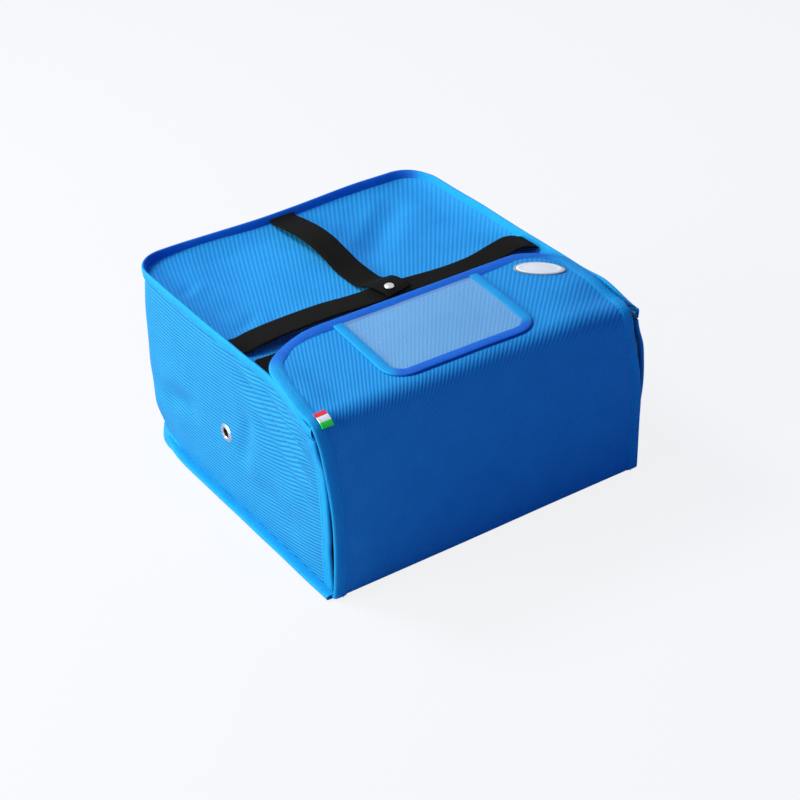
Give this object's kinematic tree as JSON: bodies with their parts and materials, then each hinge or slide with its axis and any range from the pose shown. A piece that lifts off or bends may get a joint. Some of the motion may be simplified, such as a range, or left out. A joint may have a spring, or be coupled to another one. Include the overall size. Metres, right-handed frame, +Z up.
{
  "type": "pizza delivery bag",
  "caption": "Insulated soft delivery bag for flat boxes, with a drop front, a closing lip, a carry strap joined by a press stud, and bound edges.",
  "frame": {"origin": "on the floor under the middle of the bag's bounding box", "axes": "+Z up, the drop front faces -Y, +X to the right of someone who looks at the front"},
  "size_m": [0.37, 0.381, 0.2031],
  "materials": {
    "cloth": "coated ribbed weave",
    "foam": "closed-cell padding",
    "lining": "wipe-clean coated",
    "board": "matte",
    "tape": "woven binding tape",
    "grip": "hook and loop pile",
    "webbing": "woven webbing",
    "window": "clear flexible sheet",
    "steel": "nickel plated",
    "badge": "plain, stitched rim",
    "tag": "woven ribbon in plain red, white and green bands"
  },
  "bodies": {
    "shell": {"base_cloth": "cloth", "base_board": "board", "base_foam": "foam", "base_lining": "lining", "base_binding": "tape", "left_wall_cloth": "cloth", "back_wall_cloth": "cloth", "right_wall_cloth": "cloth", "left_wall_foam": "foam", "back_wall_foam": "foam", "right_wall_foam": "foam", "left_wall_lining": "lining", "back_wall_lining": "lining", "right_wall_lining": "lining", "left_wall_binding": "tape", "right_wall_binding": "tape", "top_cloth": "cloth", "top_foam": "foam", "top_lining": "lining", "top_edge_binding": "tape", "top_binding": "tape", "loop_tape": "grip", "left_eyelet": "steel", "left_eyelet_washer": "steel", "right_eyelet": "steel", "right_eyelet_washer": "steel"},
    "front": {"front_cloth": "cloth", "front_foam": "foam", "front_lining": "lining", "left_front_binding": "tape", "right_front_binding": "tape"},
    "lip": {"lip_cloth": "cloth", "lip_foam": "foam", "lip_lining": "lining", "lip_binding": "tape", "hook_tape": "grip", "pocket_window": "window", "pocket_binding": "tape", "badge": "badge", "striped_tag": "tag"},
    "handle": {"carry_strap": "webbing", "rear_strap": "webbing", "snap_stud": "steel", "snap_post": "steel"},
    "tab": {"strap_tab": "webbing", "snap_cap": "steel", "snap_socket": "steel"}
  },
  "joints": [
    {"name": "front_hinge", "type": "hinge", "parent": "shell", "child": "front", "pos_m": [0, -0.18874, 0.00176], "axis": [1, 0, 0], "range_deg": [0, 89]},
    {"name": "lip_hinge", "type": "hinge", "parent": "front", "child": "lip", "pos_m": [0, -0.18523, 0.19363], "axis": [1, 0, 0], "range_deg": [0, 90]},
    {"name": "handle_lift", "type": "slide", "parent": "shell", "child": "handle", "axis": [0, 0, 1], "range_m": [0, 0.025], "deforming": ["carry_strap", "rear_strap"]},
    {"name": "tab_hinge", "type": "hinge", "parent": "handle", "child": "tab", "pos_m": [0, -0.0082, 0.201], "axis": [-1, 0, 0], "range_deg": [0, 120]}
  ]
}
